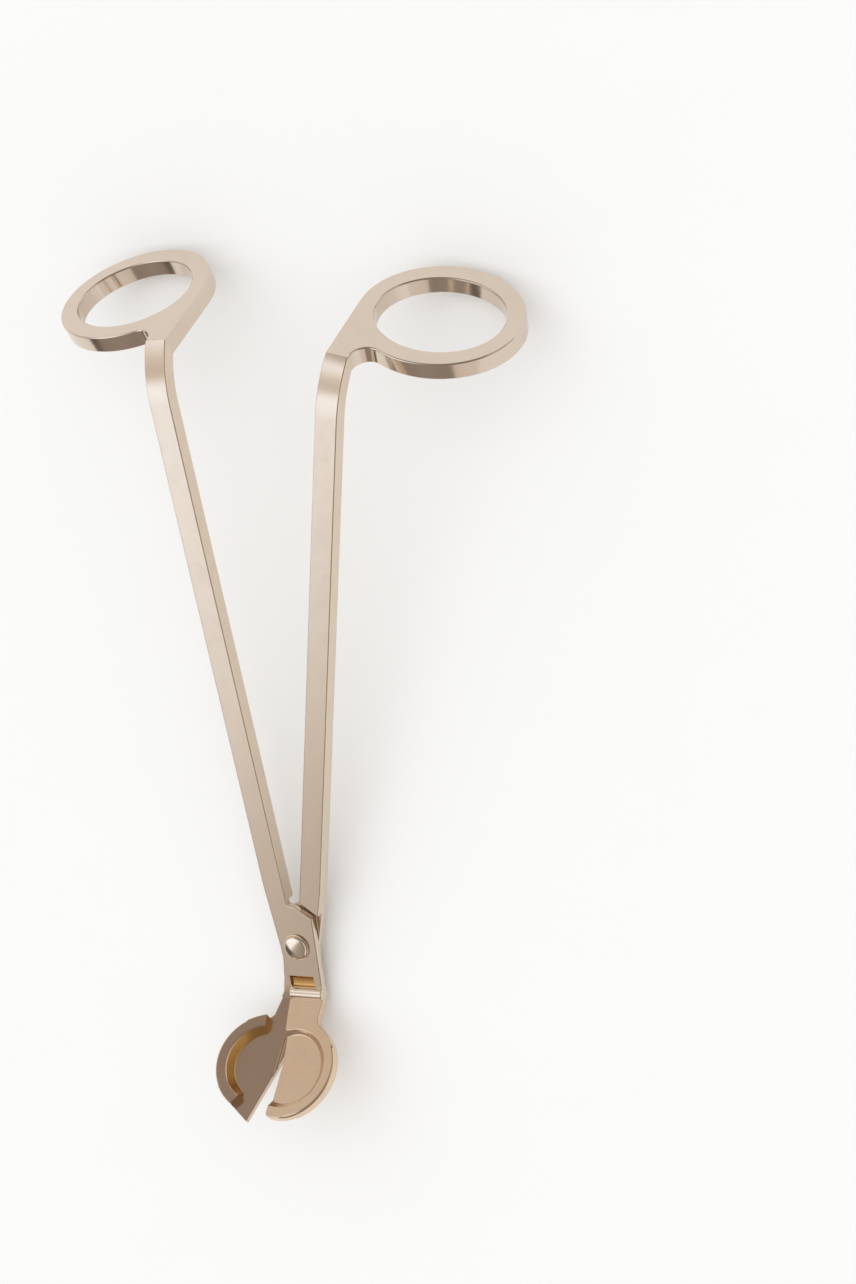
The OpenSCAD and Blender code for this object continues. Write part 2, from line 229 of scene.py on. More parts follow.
def newSolid(name, bm):
    bmesh.ops.recalc_face_normals(bm, faces=bm.faces)
    if bm.calc_volume(signed=True) < 0:
        bmesh.ops.reverse_faces(bm, faces=bm.faces)
    mesh = bpy.data.meshes.new(name)
    bm.to_mesh(mesh)
    bm.free()
    solid = bpy.data.objects.new(name, mesh)
    bpy.context.scene.collection.objects.link(solid)
    return solid


# A straight block with this outline, from low to high along its own z
def extruded(name, outline, low, high, place=Matrix()):
    bm = bmesh.new()
    face = bm.faces.new([bm.verts.new((x, y, low)) for x, y in outline])
    added = bmesh.ops.extrude_face_region(bm, geom=[face])["geom"]
    top = [v for v in added if isinstance(v, bmesh.types.BMVert)]
    bmesh.ops.translate(bm, vec=(0, 0, high - low), verts=top)
    bm.transform(place)
    return newSolid(name, bm)


# Turned about its own z from (radius, height) points; the first and last lie on the axis
def turned(name, profile, steps, place=Matrix()):
    bm = bmesh.new()
    rows = []
    for radius, height in profile:
        if radius < 1e-6:
            rows.append([bm.verts.new((0, 0, height))])
        else:
            turns = [360 * i / steps for i in range(steps)]
            rows.append([bm.verts.new((radius * cosd(t), radius * sind(t), height)) for t in turns])
    for low, high in zip(rows, rows[1:]):
        for i in range(steps):
            j = (i + 1) % steps
            corners = [low[i % len(low)], low[j % len(low)], high[j % len(high)], high[i % len(high)]]
            bm.faces.new(list(dict.fromkeys(corners)))
    bm.transform(place)
    return newSolid(name, bm)


def combine(body, tools, operation="UNION"):
    for tool in tools:
        cut = body.modifiers.new(tool.name, "BOOLEAN")
        cut.operation = operation
        cut.solver = "EXACT"
        cut.object = tool
    bpy.context.view_layer.update()
    settled = body.evaluated_get(bpy.context.evaluated_depsgraph_get())
    mesh = bpy.data.meshes.new_from_object(settled)
    body.modifiers.clear()
    body.data = mesh
    for tool in tools:
        bpy.data.objects.remove(tool)
    return body


# ---- finger rings ----
def ovalPoint(t, a, b):
    return Vector((ringU + a * math.cos(t), ringV + b * math.sin(t)))


def halve(test, low, high):
    for _ in range(40):
        middle = (low + high) / 2
        low, high = (middle, high) if test(middle) else (low, middle)
    return (low + high) / 2


# Where the straight side from the bar's inner corner touches the oval, and where the hollow
# between the bar's outer side and the rim touches it
def ringTouches():
    corner = Vector((bar["inset"], ring["seamBack"]))

    def side(t):
        along = Vector((-outerA * math.sin(t), outerB * math.cos(t)))
        return (corner - ovalPoint(t, outerA, outerB)).cross(along) * -1

    start, between, end = (math.radians(angle) for angle in (130, 215, 275))
    sign = side(start) > 0
    tangent = halve(lambda t: (side(t) > 0) == sign, start, between)
    middle = barOuter + ring["crotch"]
    hollow = halve(lambda t: hollowCentre(t).x < middle, between, end)
    return tangent, hollow - 2 * math.pi


def hollowCentre(t):
    out = Vector((outerB * math.cos(t), outerA * math.sin(t))).normalized()
    return ovalPoint(t, outerA, outerB) + ring["crotch"] * out


def ringPlate(name):
    tangent, hollow = ringTouches()
    steps = ring["steps"]
    ts = [tangent + (hollow - tangent) * i / steps for i in range(steps + 1)]
    outer = [ovalPoint(t, outerA, outerB) for t in ts]
    centre = hollowCentre(hollow)
    reach = outer[-1] - centre
    startAngle = math.degrees(math.atan2(reach.y, reach.x))
    outer += [Vector(p) for p in arc(centre, ring["crotch"], startAngle, 180, 14)[1:]]
    outer += [Vector((barOuter, ring["seamBack"])), Vector((bar["inset"], ring["seamBack"]))]
    extra = len(outer) - len(ts)
    ts += [hollow + (tangent - 2 * math.pi - hollow) * i / (extra + 1) for i in range(1, extra + 1)]
    inner = [ovalPoint(t, ring["holeWide"] / 2, ring["holeHigh"] / 2) for t in ts]
    bm = bmesh.new()
    loops = [[bm.verts.new((p.x, p.y, z)) for p in points]
             for points, z in ((outer, 0), (inner, 0), (inner, -ring["thick"]), (outer, -ring["thick"]))]
    count = len(outer)
    before, past = ring["seamStrips"]
    near = range(count - before, count + past)
    for k in range(4):
        here, after = loops[k], loops[(k + 1) % 4]
        for i in range(count):
            j = (i + 1) % count
            if k % 2 or (i not in near and i + count not in near):
                bm.faces.new((here[i], here[j], after[j], after[i]))
        if k % 2 == 0:
            whole = [i % count for i in [*near, near[-1] + 1]]
            bm.faces.new([here[i] for i in whole] + [after[i] for i in reversed(whole)])
    bm.transform(turn(closedHalf, "Y") @ ringPlane)
    return newSolid(name, bm)


# ---- bars ----
def bendAngle():
    return math.degrees(math.acos(1 - ring["seamBack"] * sind(ring["tilt"]) / bar["bendRadius"]))


# Front and back lines of the bend, from its start to the plane of the ring's seam, as (y, z)
def bendLines():
    bendZ = bar["length"] + ring["seamBack"] * cosd(ring["tilt"]) - bar["bendRadius"] * sind(bendAngle())
    centre = Vector((frontY + bar["bendRadius"], bendZ))
    slope = 90 - ring["tilt"]
    along = (centre - Vector((frontY, bar["length"]))).dot(Vector((cosd(slope), sind(slope))))
    lines = []
    for radius in (bar["bendRadius"], bar["bendRadius"] - bar["thick"]):
        end = math.degrees(math.acos((along - ring["seamBack"]) / radius)) - slope
        turns = [end * i / bar["bendSteps"] for i in range(bar["bendSteps"] + 1)]
        lines.append([(centre.x - radius * cosd(t), centre.y + radius * sind(t)) for t in turns])
    return lines


# ---- shanks: bar, half-thickness plate round the pivot, and neck, as one closed skin ----
facingFront = turn(90, "X")          # an outline's x, y become x, z, and its own z points to the front
sideways = turn(90, "Z") @ turn(90, "X")   # an outline's x, y become y, z, and its own z points to the right
halfGap = lap["gap"] / 2
stepInnerZ = lap["shoulderZ"] + lap["stepGap"]
stepOuterZ = lap["shoulder"][1] + 2 * lap["stepGap"]
neckZ = lap["topZ"] - lap["neckStart"]


# Drawn with the bar on the left and the plate in front; the rear one is turned half round.
# neckLines holds the neck's outer and inner lines, as (y, z), from below the plate to the seam
def shankSolid(name, side, neckLines):
    bm = bmesh.new()
    half = 1 if side == "front" else -1
    lean = turn(-half * closedHalf, "Y")
    inset = bar["inset"]
    out = -bar["thick"] / 2

    def point(x, y, z):
        return bm.verts.new(lean @ Vector((half * x, half * y, z)))

    def facet(*corners):
        bm.faces.new(corners)

    stepX = -barOuter + (barOuter - lap["out"]) * (lap["taperZ"] - stepOuterZ) / lap["taperZ"]
    plateEdge = [(-lap["out"], 0), (-lap["out"], lap["lowZ"]), (-dish["neckHalf"], lap["topZ"]),
                 (dish["neckHalf"], lap["topZ"]), lap["shoulder"],
                 (inset + lap["shoulderIn"], lap["shoulderZ"] - lap["shoulderDip"]),
                 (-inset, lap["shoulderZ"] + lap["shoulderRise"])]
    step = [(-inset, stepInnerZ), (-lap["kneeX"], stepOuterZ + lap["stepRise"]), (stepX, stepOuterZ)]
    outer = [point(x, out, z) for x, z in plateEdge]
    lapped = [point(x, -halfGap, z) for x, z in plateEdge]
    stepLap = [point(x, -halfGap, z) for x, z in step]
    stepFar = [point(x, -out, z) for x, z in step]
    top = {(x, y): point(x, y, lap["taperZ"]) for x in (-inset, -barOuter) for y in (out, -out)}
    outerTop = [top[-barOuter, out], top[-inset, out]]
    farTop = [top[-barOuter, -out], top[-inset, -out]]
    facet(outerTop[0], *outer, outerTop[1])
    facet(*lapped, *stepLap)
    facet(farTop[0], *reversed(stepFar), farTop[1])
    facet(outerTop[0], farTop[0], stepFar[2], stepLap[2], lapped[0], outer[0])
    facet(outerTop[1], outer[6], lapped[6], stepLap[0], stepFar[0], farTop[1])
    for i in (0, 1, 3, 4, 5):
        facet(outer[i], outer[i + 1], lapped[i + 1], lapped[i])
    for i in (0, 1):
        facet(stepLap[i], stepLap[i + 1], stepFar[i + 1], stepFar[i])
    # the bar, from the plate up round its bend; it always bends to the back
    front, back = bendLines()
    row = [top[-inset, half * out], top[-barOuter, half * out], top[-barOuter, -half * out],
           top[-inset, -half * out]]
    for (y0, z0), (y1, z1) in zip(front, back):
        ends = [(inset, y0, z0), (barOuter, y0, z0), (barOuter, y1, z1), (inset, y1, z1)]
        after = [bm.verts.new(lean @ Vector((-half * x, y, z))) for x, y, z in ends]
        for i in range(4):
            j = (i + 1) % 4
            facet(row[i], row[j], after[j], after[i])
        row = after
    facet(*row)
    # the neck, from the plate's lower edge
    wide = half * dish["neckHalf"]
    row = [outer[2], outer[3], lapped[3], lapped[2]]
    for (y0, z0), (y1, z1) in zip(*neckLines):
        ends = [(-wide, y0, z0), (wide, y0, z0), (wide, y1, z1), (-wide, y1, z1)]
        after = [bm.verts.new(p) for p in ends]
        for i in range(4):
            j = (i + 1) % 4
            facet(row[i], row[j], after[j], after[i])
        row = after
    facet(*row)
    return newSolid(name, bm)


def bendV(depth, y):
    return (depth * cosd(dish["tilt"]) - dish["front"] - y) / sind(dish["tilt"])


# A point on the dish's line, seen from the side, at a depth below the upper rim
def sidePoint(v, depth):
    return (-(dish["front"] + v * sind(dish["tilt"]) - depth * cosd(dish["tilt"])),
            -(dish["down"] + v * cosd(dish["tilt"]) + depth * sind(dish["tilt"])))


creaseV = bendV(0, frontY)
seamV = creaseV + dish["bead"]
lowerTop = upperBlade["thick"] + lowerBlade["gap"]
lowerBottom = lowerTop + lowerBlade["thick"]
rimInner = dish["radius"] - dish["rim"]
floorRadius = rimInner - dish["slope"]


# Points spread evenly over a broken line, so that two lines can be joined row by row
def spread(line, count):
    lengths = [math.dist(p, q) for p, q in zip(line, line[1:])]
    total = sum(lengths)
    points = []
    for i in range(count):
        rest = total * i / (count - 1)
        k = 0
        while k < len(lengths) - 1 and rest > lengths[k]:
            rest -= lengths[k]
            k += 1
        share = min(1.0, rest / lengths[k])
        points.append(tuple(a + (b - a) * share for a, b in zip(line[k], line[k + 1])))
    return points


# Down the plate's face, round the bead, and to the seam with the blade
def frontNeckLines():
    crease = sidePoint(creaseV, 0)
    thick = upperBlade["thick"]
    size = dish["beadRound"]
    middle = (crease[0] + dish["beadIn"], crease[1] + dish["beadUp"])
    above = dish["beadUp"] * sind(dish["tilt"]) - dish["beadIn"] * cosd(dish["tilt"])
    first = 180 - math.degrees(math.acos(dish["beadIn"] / size))
    last = 270 - dish["tilt"] + math.degrees(math.asin(above / size))
    outerLine = [(frontY, neckZ)] + arc(middle, size, first, last, dish["beadSteps"]) + [sidePoint(seamV, 0)]
    bend = sidePoint(bendV(thick, -halfGap), thick)
    innerLine = spread([(-halfGap, neckZ), bend], len(outerLine) - 1) + [sidePoint(seamV, thick)]
    return outerLine, innerLine


def rearNeckLines():
    size = lowerBlade["bendRound"]
    backZ = sidePoint(bendV(lowerBottom, -frontY), lowerBottom)[1]
    centre = (-frontY - size, backZ + size * tand(dish["tilt"] / 2))
    outerLine = arc(centre, size, 0, -dish["tilt"], lowerBlade["bendSteps"]) + [sidePoint(seamV, lowerBottom)]
    bend = sidePoint(bendV(lowerTop, halfGap), lowerTop)
    innerLine = spread([(halfGap, neckZ), bend], len(outerLine) - 1) + [sidePoint(seamV, lowerTop)]
    return outerLine, innerLine


# The shallow scoop above the bead, as depths down the plate; it ends short of both sides
scoop = {
    "line": [(-0.5, -6.55), (0.0, -6.75), (0.42, -7.25), (0.5, -7.6), (0.5, -8.7), (0.36, -9.05),
             (0.0, -9.3), (-0.5, -9.4)],
    "sides": (-3.55, 2.3),
    "near": 0.02,
    "deepest": 0.6,
    "paintedShadeFrom": 0.05,      # deeper than this, it gets the painted hollow shade and reflection
}


def scoopCutter():
    line = [(frontY + depth, z) for depth, z in scoop["line"]]
    return extruded("scoop", line, *scoop["sides"], sideways)


# Everything behind the cone on which the lower blade moves
def behindMeeting(name="behindMeeting"):
    middle = upperBlade["thick"] + lowerBlade["gap"] / 2
    coneRadius = -sidePoint(bendV(middle, 0), middle)[1]
    coneGap = lowerBlade["gap"] / 2 / cosd(dish["tilt"])
    reach = dish["down"] + 2 * dish["radius"]
    far = 60
    inner = coneRadius - (coneGap - halfGap) / tand(dish["tilt"])
    profile = [(0, -halfGap), (inner, -halfGap),
               (reach, -(reach - coneRadius) * tand(dish["tilt"]) - coneGap), (reach, far), (0, far)]
    return turned(name, profile, dish["steps"], turn(-90, "X"))


def boreHole(radius):
    reach = 4
    steps = 64
    return turned("bore", [(0, -reach), (radius, -reach), (radius, reach), (0, reach)], steps, facingFront)


def frontShank():
    body = shankSolid("frontShank", "front", frontNeckLines())
    body = combine(body, [scoopCutter()], "DIFFERENCE")
    wide = 30
    low = extruded("low", [(-wide, -wide), (wide, -wide), (wide, wide), (-wide, wide)], -70,
                   sidePoint(creaseV, 0)[1])
    body = combine(body, [combine(behindMeeting(), [low], "INTERSECT")], "DIFFERENCE")
    return combine(body, [boreHole(rivet["shank"] + rivet["bore"])], "DIFFERENCE")


def rearShank():
    body = shankSolid("rearShank", "rear", rearNeckLines())
    return combine(body, [boreHole(rivet["shank"])], "DIFFERENCE")


# Dome on a flat collar, shank and peened tail
def rivetSolid():
    back = -bar["thick"] / 2 - rivet["washerThick"]
    front = bar["thick"] / 2 + halfGap
    collar = front + rivet["collarHigh"]
    top = front + rivet["headHigh"] - halfGap
    bend = rivet["domeRound"]
    tail = [(rivet["tail"] * sind(a), back - rivet["tailHigh"] * cosd(a)) for a in range(0, 91, 10)]
    tail[0] = (0, tail[0][1])
    foot = rivet["collarFoot"]
    lip = rivet["collarLip"]
    rim = arc((rivet["head"] - foot, front + foot), foot, -90, 0, curveSteps // 2)
    rim += arc((rivet["head"] - lip, collar - lip), lip, 0, 90, curveSteps // 2)
    side = arc((rivet["dome"] - bend, top - rivet["crown"] - bend), bend, 0, rivet["crownStart"], curveSteps)
    reach, high = side[-1]
    shares = [i / curveSteps for i in range(1, curveSteps + 1)]
    dome = [(reach * (1 - i), high + (top - high) * (1 - (1 - i) ** 2)) for i in shares]
    profile = tail + [(rivet["shank"], back), (rivet["shank"], front)] + rim
    profile += [(rivet["dome"] + rivet["groove"], collar), (rivet["dome"], collar - rivet["groove"])]
    profile += side + dome
    return turned("rivetSolid", profile, rivet["steps"], facingFront)


def washerSolid():
    bm = bmesh.new()
    soft = rivet["washerRound"]
    low = bar["thick"] / 2
    high = low + rivet["washerThick"]
    outer = rivet["washer"]
    inner = rivet["shank"]
    profile = [(inner, low), (outer - soft, low), (outer, low + soft), (outer, high - soft),
               (outer - soft, high), (inner, high)]
    steps = rivet["steps"]
    rows = [[bm.verts.new((r * cosd(360 * i / steps), y, r * sind(360 * i / steps))) for i in range(steps)]
            for r, y in profile]
    for row, after in zip(rows, rows[1:] + rows[:1]):
        for i in range(steps):
            j = (i + 1) % steps
            bm.faces.new((row[i], row[j], after[j], after[i]))
    return newSolid("washerSolid", bm)


# ---- blades ----
def upperEdge(y):
    slope = (dish["neckHalf"] + upperBlade["flare"] - upperBlade["lap"]) / (-seamV - upperBlade["edgeY"])
    return (-upperBlade["lap"] - max(0, y - upperBlade["edgeY"]) * slope, y)


# The shallow bowl that is cut out of both blades; its foot and its lip are rounded
def bowlCutter(name, top, bottom, lip=0.45, foot=0.45):
    slope = math.atan2(top - bottom, rimInner - floorRadius)
    footBack = foot * math.tan(slope / 2)
    lipBack = lip * math.tan(slope / 2)
    steps = 6
    profile = [(0, bottom)]
    for i in range(steps + 1):
        a = slope * i / steps
        profile.append((floorRadius - footBack + foot * math.sin(a), bottom + foot * (1 - math.cos(a))))
    for i in range(steps + 1):
        a = slope * (1 - i / steps)
        profile.append((rimInner + lipBack - lip * math.sin(a), top - lip * (1 - math.cos(a))))
    over = 0.2           # the cutter stands above the rim, spreading a little
    clear = top + 5
    profile.append((rimInner + lipBack + over, top + over / 40))
    profile += [(rimInner + lipBack + over, clear), (0, clear)]
    return turned(name, profile, dish["steps"])


# Rounds a rim's outer edge; the rounding runs out gently towards both of the rim's ends
def rimCutter(name, top, size, first, last):
    over = 1
    profile = [(dish["radius"] - size, top + over)]
    profile += arc((dish["radius"] - size, top - size), size, 90, 0, curveSteps)
    profile += [(dish["radius"] + over, top - size), (dish["radius"] + over, top + over)]
    bm = bmesh.new()
    steps = 90
    runOut = 6             # it runs out over a sixth of the way round, at each end
    barely = 0.02          # it stays this far outside the rounding it cuts
    rows = []
    for i in range(steps + 1):
        angle = first + (last - first) * i / steps
        run = min(1, runOut * min(i, steps - i) / steps)
        away = barely + size * (1 - run * run * (3 - 2 * run))
        rows.append([bm.verts.new(((r + away) * cosd(angle), (r + away) * sind(angle), z + away))
                     for r, z in profile])
    count = len(profile)
    for row, after in zip(rows, rows[1:]):
        for i in range(count):
            j = (i + 1) % count
            bm.faces.new((row[i], row[j], after[j], after[i]))
    bm.faces.new(rows[0])
    bm.faces.new(rows[-1])
    return newSolid(name, bm)


def upperOutline():
    tipRound = upperBlade["tipRound"]
    sideRound = upperBlade["sideRound"]
    radius = dish["radius"]
    tip = (-upperBlade["lap"] + tipRound,
           -math.sqrt((radius - tipRound) ** 2 - (upperBlade["lap"] - tipRound) ** 2))
    tipAngle = math.degrees(math.atan2(tip[1], tip[0])) + 360
    side = (dish["neckHalf"] + sideRound,
            math.sqrt((radius + sideRound) ** 2 - (dish["neckHalf"] + sideRound) ** 2))
    sideAngle = math.degrees(math.atan2(side[1], side[0])) + 360
    return ([upperEdge(-seamV), upperEdge(upperBlade["edgeY"])] + arc(tip, tipRound, 180, tipAngle, 10)
            + arc((0, 0), radius, tipAngle + 2, sideAngle, 60)
            + arc(side, sideRound, sideAngle - 180, 180, 12)[1:]
            + [(dish["neckHalf"], -seamV)])


def upperBladeSolid():
    body = extruded("upperSolid", upperOutline(), -upperBlade["thick"], 0)
    bowl = bowlCutter("bowl", 0, -upperBlade["recess"])
    for v in bowl.data.vertices:
        deep = min(1, max(0, -v.co.z / upperBlade["recess"]))
        v.co.y += upperBlade["endWall"] * deep * max(0, v.co.y / floorRadius) ** 2
    rim = rimCutter("rim", 0, upperBlade["rimEdge"], *upperBlade["rimRun"])
    body = combine(body, [bowl, rim], "DIFFERENCE")
    far = 60
    side = upperBlade["coneSide"]
    left = extruded("left", [(-far, -far), (side, -far), (side, far), (-far, far)], -far, 0)
    meeting = combine(behindMeeting(), [left], "INTERSECT")
    meeting.data.transform(dishPlane.inverted())
    body = combine(body, [meeting], "DIFFERENCE")
    body.data.transform(dishPlane)
    return body


# Tip of the lower blade, where the straight edge meets the line that leaves the circle
def lowerTip():
    leave = lowerBlade["tipLeave"]
    slant = tand(lowerBlade["slant"])
    away = (-dish["radius"] * sind(leave), -dish["radius"] * cosd(leave))
    x = (lowerBlade["lap"] - slant * (tand(leave) * away[0] - away[1])) / (1 + slant * tand(leave))
    return x, away[1] - tand(leave) * (x - away[0])


def lowerOutline():
    radius = dish["radius"]
    sideRound = lowerBlade["sideRound"]
    neckLeft = dish["neckHalf"] - lowerBlade["neckIn"]
    edgeTop = lowerBlade["edgeTop"]
    back, rise = lowerBlade["edgeBack"]
    blunt, bluntRise = lowerBlade["tipBlunt"]
    side = (-neckLeft - sideRound, math.sqrt((radius + sideRound) ** 2 - (neckLeft + sideRound) ** 2))
    sideAngle = math.degrees(math.atan2(side[1], side[0]))
    x, y = lowerTip()
    return ([(dish["neckHalf"], -seamV), (-neckLeft, -seamV)] + arc(side, sideRound, 0, sideAngle - 180, 8)
            + arc((0, 0), radius, sideAngle, 270 - lowerBlade["tipLeave"], 56)[1:]
            + [(x - blunt, y + blunt * tand(lowerBlade["tipLeave"])), (x, y + bluntRise),
               (lowerBlade["lap"] + tand(lowerBlade["slant"]) * edgeTop - back, edgeTop),
               (dish["neckHalf"], edgeTop + rise)])


# Outer and inner corner of the lower rim's start, and inner and outer corner of its end
def rimCorners():
    startY = lowerBlade["rimStart"]
    clear = lowerBlade["rimClear"]
    across, down = lowerBlade["rimEnd"]
    endIn = (upperEdge(-rimInner)[0] - clear, -rimInner)
    return ((-math.sqrt(dish["radius"] ** 2 - startY ** 2), startY),
            (upperEdge(floorRadius)[0] - clear, floorRadius), endIn, (endIn[0] - across, endIn[1] - down))


# Where no rim stands on the lower blade, so that the upper one can close over it
def noRimOutline():
    startOut, startIn, endIn, endOut = rimCorners()
    far = 20
    return [(far, far), (-far, far), (-far, startOut[1]), startOut, startIn, (-lowerBlade["rimClear"], 0),
            (endIn[0], endIn[1] + lowerBlade["rimEndRise"]), endIn, endOut, (endOut[0], -far), (far, -far)]


def lowerBladeSolid():
    body = extruded("lowerSolid", lowerOutline(), -lowerBottom, -lowerBlade["rimDrop"])
    rim = rimCutter("rim", -lowerBlade["rimDrop"], lowerBlade["rimEdge"], *lowerBlade["rimRun"])
    bowl = bowlCutter("bowl", -lowerBlade["rimDrop"], -lowerTop, lip=lowerBlade["lip"])
    body = combine(body, [bowl, rim], "DIFFERENCE")
    above = 5
    body = combine(body, [extruded("open", noRimOutline(), -lowerTop, above)], "DIFFERENCE")
    size = lowerBlade["bevel"] / 2
    length = 40
    place = (Matrix.Translation((lowerBlade["lap"], 0, -lowerTop))
             @ turn(lowerBlade["slant"], "Z") @ turn(45, "Y"))
    slit = [(-size, -length), (size, -length), (size, length), (-size, length)]
    body = combine(body, [extruded("bevel", slit, -size, size, place)], "DIFFERENCE")
    body.data.transform(dishPlane)
    return body


# ---- finish: pale gold plating over steel ----
finish = {
    # base colour, warmer tone, roughness, scratch depth, mottling
    "bar_gold": ((0.74, 0.63, 0.51), (0.71, 0.58, 0.44), 0.17, 0.5, 0.35),
    "ring_gold": ((0.71, 0.60, 0.50), (0.69, 0.56, 0.44), 0.11, 0.25, 0.35),
    # painted shade: the lower blade is the same plating as the upper one, but its base colour is set darker
    # to stand in for the darker light that it reflects
    "lower_blade_gold": ((0.68, 0.53, 0.41), (0.64, 0.48, 0.34), 0.15, 0.6, 0.5),
    "upper_blade_gold": ((0.76, 0.59, 0.43), (0.72, 0.53, 0.36), 0.17, 0.45, 0.5),
    "rivet_gold": ((0.80, 0.70, 0.57), (0.78, 0.63, 0.45), 0.07, 0.1, 0.2),
    # painted shade and reflection: a darker, more saturated gold on the scoop and the lower blade's sloping
    # wall, standing in for the shade and gold-on-gold reflection inside these hollows
    "painted_hollow_shade_gold": ((0.60, 0.36, 0.13), (0.54, 0.30, 0.09), 0.24, 0.3, 0.6),
    "washer_gold": ((0.74, 0.61, 0.46), (0.68, 0.53, 0.36), 0.22, 0.5, 0.4),
}


def addNode(tree, kind, inputs=None, **settings):
    node = tree.nodes.new(kind)
    for key, value in settings.items():
        setattr(node, key, value)
    for key, value in (inputs or {}).items():
        if isinstance(value, bpy.types.NodeSocket):
            tree.links.new(value, node.inputs[key])
        else:
            node.inputs[key].default_value = value
    return node


# Polishing lines along the piece, plating tone that drifts, and a faint orange-peel skin
def platingGroup():
    group = bpy.data.node_groups.new("polishedPlating", "ShaderNodeTree")
    face = group.interface
    face.new_socket(name="Tone", in_out="INPUT", socket_type="NodeSocketColor")
    face.new_socket(name="Warm Tone", in_out="INPUT", socket_type="NodeSocketColor")
    for name in ("Roughness", "Scratches", "Mottling"):
        face.new_socket(name=name, in_out="INPUT", socket_type="NodeSocketFloat")
    face.new_socket(name="Color", in_out="OUTPUT", socket_type="NodeSocketColor")
    face.new_socket(name="Roughness", in_out="OUTPUT", socket_type="NodeSocketFloat")
    face.new_socket(name="Height", in_out="OUTPUT", socket_type="NodeSocketFloat")
    given = group.nodes.new("NodeGroupInput").outputs
    grain = addNode(group, "ShaderNodeAttribute", attribute_name="grain").outputs["Vector"]
    lines = addNode(group, "ShaderNodeMapping", {"Vector": grain, "Scale": (9.0, 9.0, 0.22)})
    scratch = addNode(group, "ShaderNodeTexNoise", {"Vector": lines.outputs["Vector"], "Scale": 1.0,
                                                    "Detail": 4.0, "Roughness": 0.6})
    drift = addNode(group, "ShaderNodeTexNoise", {"Vector": grain, "Scale": 0.09, "Detail": 3.0,
                                                  "Roughness": 0.5, "Distortion": 0.4})
    peel = addNode(group, "ShaderNodeTexNoise", {"Vector": grain, "Scale": 0.9, "Detail": 2.0,
                                                 "Roughness": 0.5})
    amount = addNode(group, "ShaderNodeMapRange", {"Value": drift.outputs["Fac"], "From Min": 0.35,
                                                   "From Max": 0.7, "To Min": 0.0,
                                                   "To Max": given["Mottling"]})
    tone = addNode(group, "ShaderNodeMix", data_type="RGBA")
    group.links.new(amount.outputs["Result"], tone.inputs["Factor"])
    group.links.new(given["Tone"], tone.inputs[6])
    group.links.new(given["Warm Tone"], tone.inputs[7])
    centred = addNode(group, "ShaderNodeMath", {0: scratch.outputs["Fac"], 1: 0.5}, operation="SUBTRACT")
    scored = addNode(group, "ShaderNodeMath", {0: centred.outputs[0], 1: given["Scratches"]},
                     operation="MULTIPLY")
    spread = addNode(group, "ShaderNodeMath", {0: scored.outputs[0], 1: 0.12, 2: given["Roughness"]},
                     operation="MULTIPLY_ADD")
    skin = addNode(group, "ShaderNodeMath", {0: peel.outputs["Fac"], 1: 0.5, 2: scored.outputs[0]},
                   operation="MULTIPLY_ADD")
    out = group.nodes.new("NodeGroupOutput").inputs
    group.links.new(tone.outputs[2], out["Color"])
    group.links.new(spread.outputs[0], out["Roughness"])
    group.links.new(skin.outputs[0], out["Height"])
    return group


# Faint clouds where fingers have dulled the polish
def handlingGroup():
    group = bpy.data.node_groups.new("handling", "ShaderNodeTree")
    face = group.interface
    face.new_socket(name="Color", in_out="INPUT", socket_type="NodeSocketColor")
    face.new_socket(name="Roughness", in_out="INPUT", socket_type="NodeSocketFloat")
    face.new_socket(name="Amount", in_out="INPUT", socket_type="NodeSocketFloat")
    face.new_socket(name="Color", in_out="OUTPUT", socket_type="NodeSocketColor")
    face.new_socket(name="Roughness", in_out="OUTPUT", socket_type="NodeSocketFloat")
    given = group.nodes.new("NodeGroupInput").outputs
    grain = addNode(group, "ShaderNodeAttribute", attribute_name="grain").outputs["Vector"]
    cloud = addNode(group, "ShaderNodeTexNoise", {"Vector": grain, "Scale": 0.22, "Detail": 5.0,
                                                  "Roughness": 0.62, "Distortion": 0.8})
    mark = addNode(group, "ShaderNodeMapRange", {"Value": cloud.outputs["Fac"], "From Min": 0.48,
                                                 "From Max": 0.75, "To Min": 0.0, "To Max": given["Amount"]})
    duller = addNode(group, "ShaderNodeMath", {0: mark.outputs["Result"], 1: 0.12, 2: given["Roughness"]},
                     operation="MULTIPLY_ADD")
    darker = addNode(group, "ShaderNodeMath", {0: mark.outputs["Result"], 1: -0.1, 2: 1.0},
                     operation="MULTIPLY_ADD")
    tone = addNode(group, "ShaderNodeVectorMath", {0: given["Color"], "Scale": darker.outputs[0]},
                   operation="SCALE")
    out = group.nodes.new("NodeGroupOutput").inputs
    group.links.new(tone.outputs["Vector"], out["Color"])
    group.links.new(duller.outputs[0], out["Roughness"])
    return group


plating = platingGroup()
handling = handlingGroup()


def goldMaterial(slot):
    tone, warm, roughness, scratches, mottling = finish[slot]
    material = bpy.data.materials.new(slot)
    material.use_nodes = True
    tree = material.node_tree
    shader = tree.nodes["Principled BSDF"]
    shader.inputs["Metallic"].default_value = 1.0
    skin = addNode(tree, "ShaderNodeGroup", node_tree=plating)
    skin.inputs["Tone"].default_value = (*tone, 1.0)
    skin.inputs["Warm Tone"].default_value = (*warm, 1.0)
    skin.inputs["Roughness"].default_value = roughness
    skin.inputs["Scratches"].default_value = scratches
    skin.inputs["Mottling"].default_value = mottling
    marks = addNode(tree, "ShaderNodeGroup", node_tree=handling)
    marks.inputs["Amount"].default_value = mottling
    for key in ("Color", "Roughness"):
        tree.links.new(skin.outputs[key], marks.inputs[key])
    tree.links.new(marks.outputs["Color"], shader.inputs["Base Color"])
    tree.links.new(marks.outputs["Roughness"], shader.inputs["Roughness"])
    bump = addNode(tree, "ShaderNodeBump", {"Height": skin.outputs["Height"], "Strength": 0.12,
                                            "Distance": 0.00002})
    tree.links.new(bump.outputs["Normal"], shader.inputs["Normal"])
    return material


golds = {slot: goldMaterial(slot) for slot in finish}


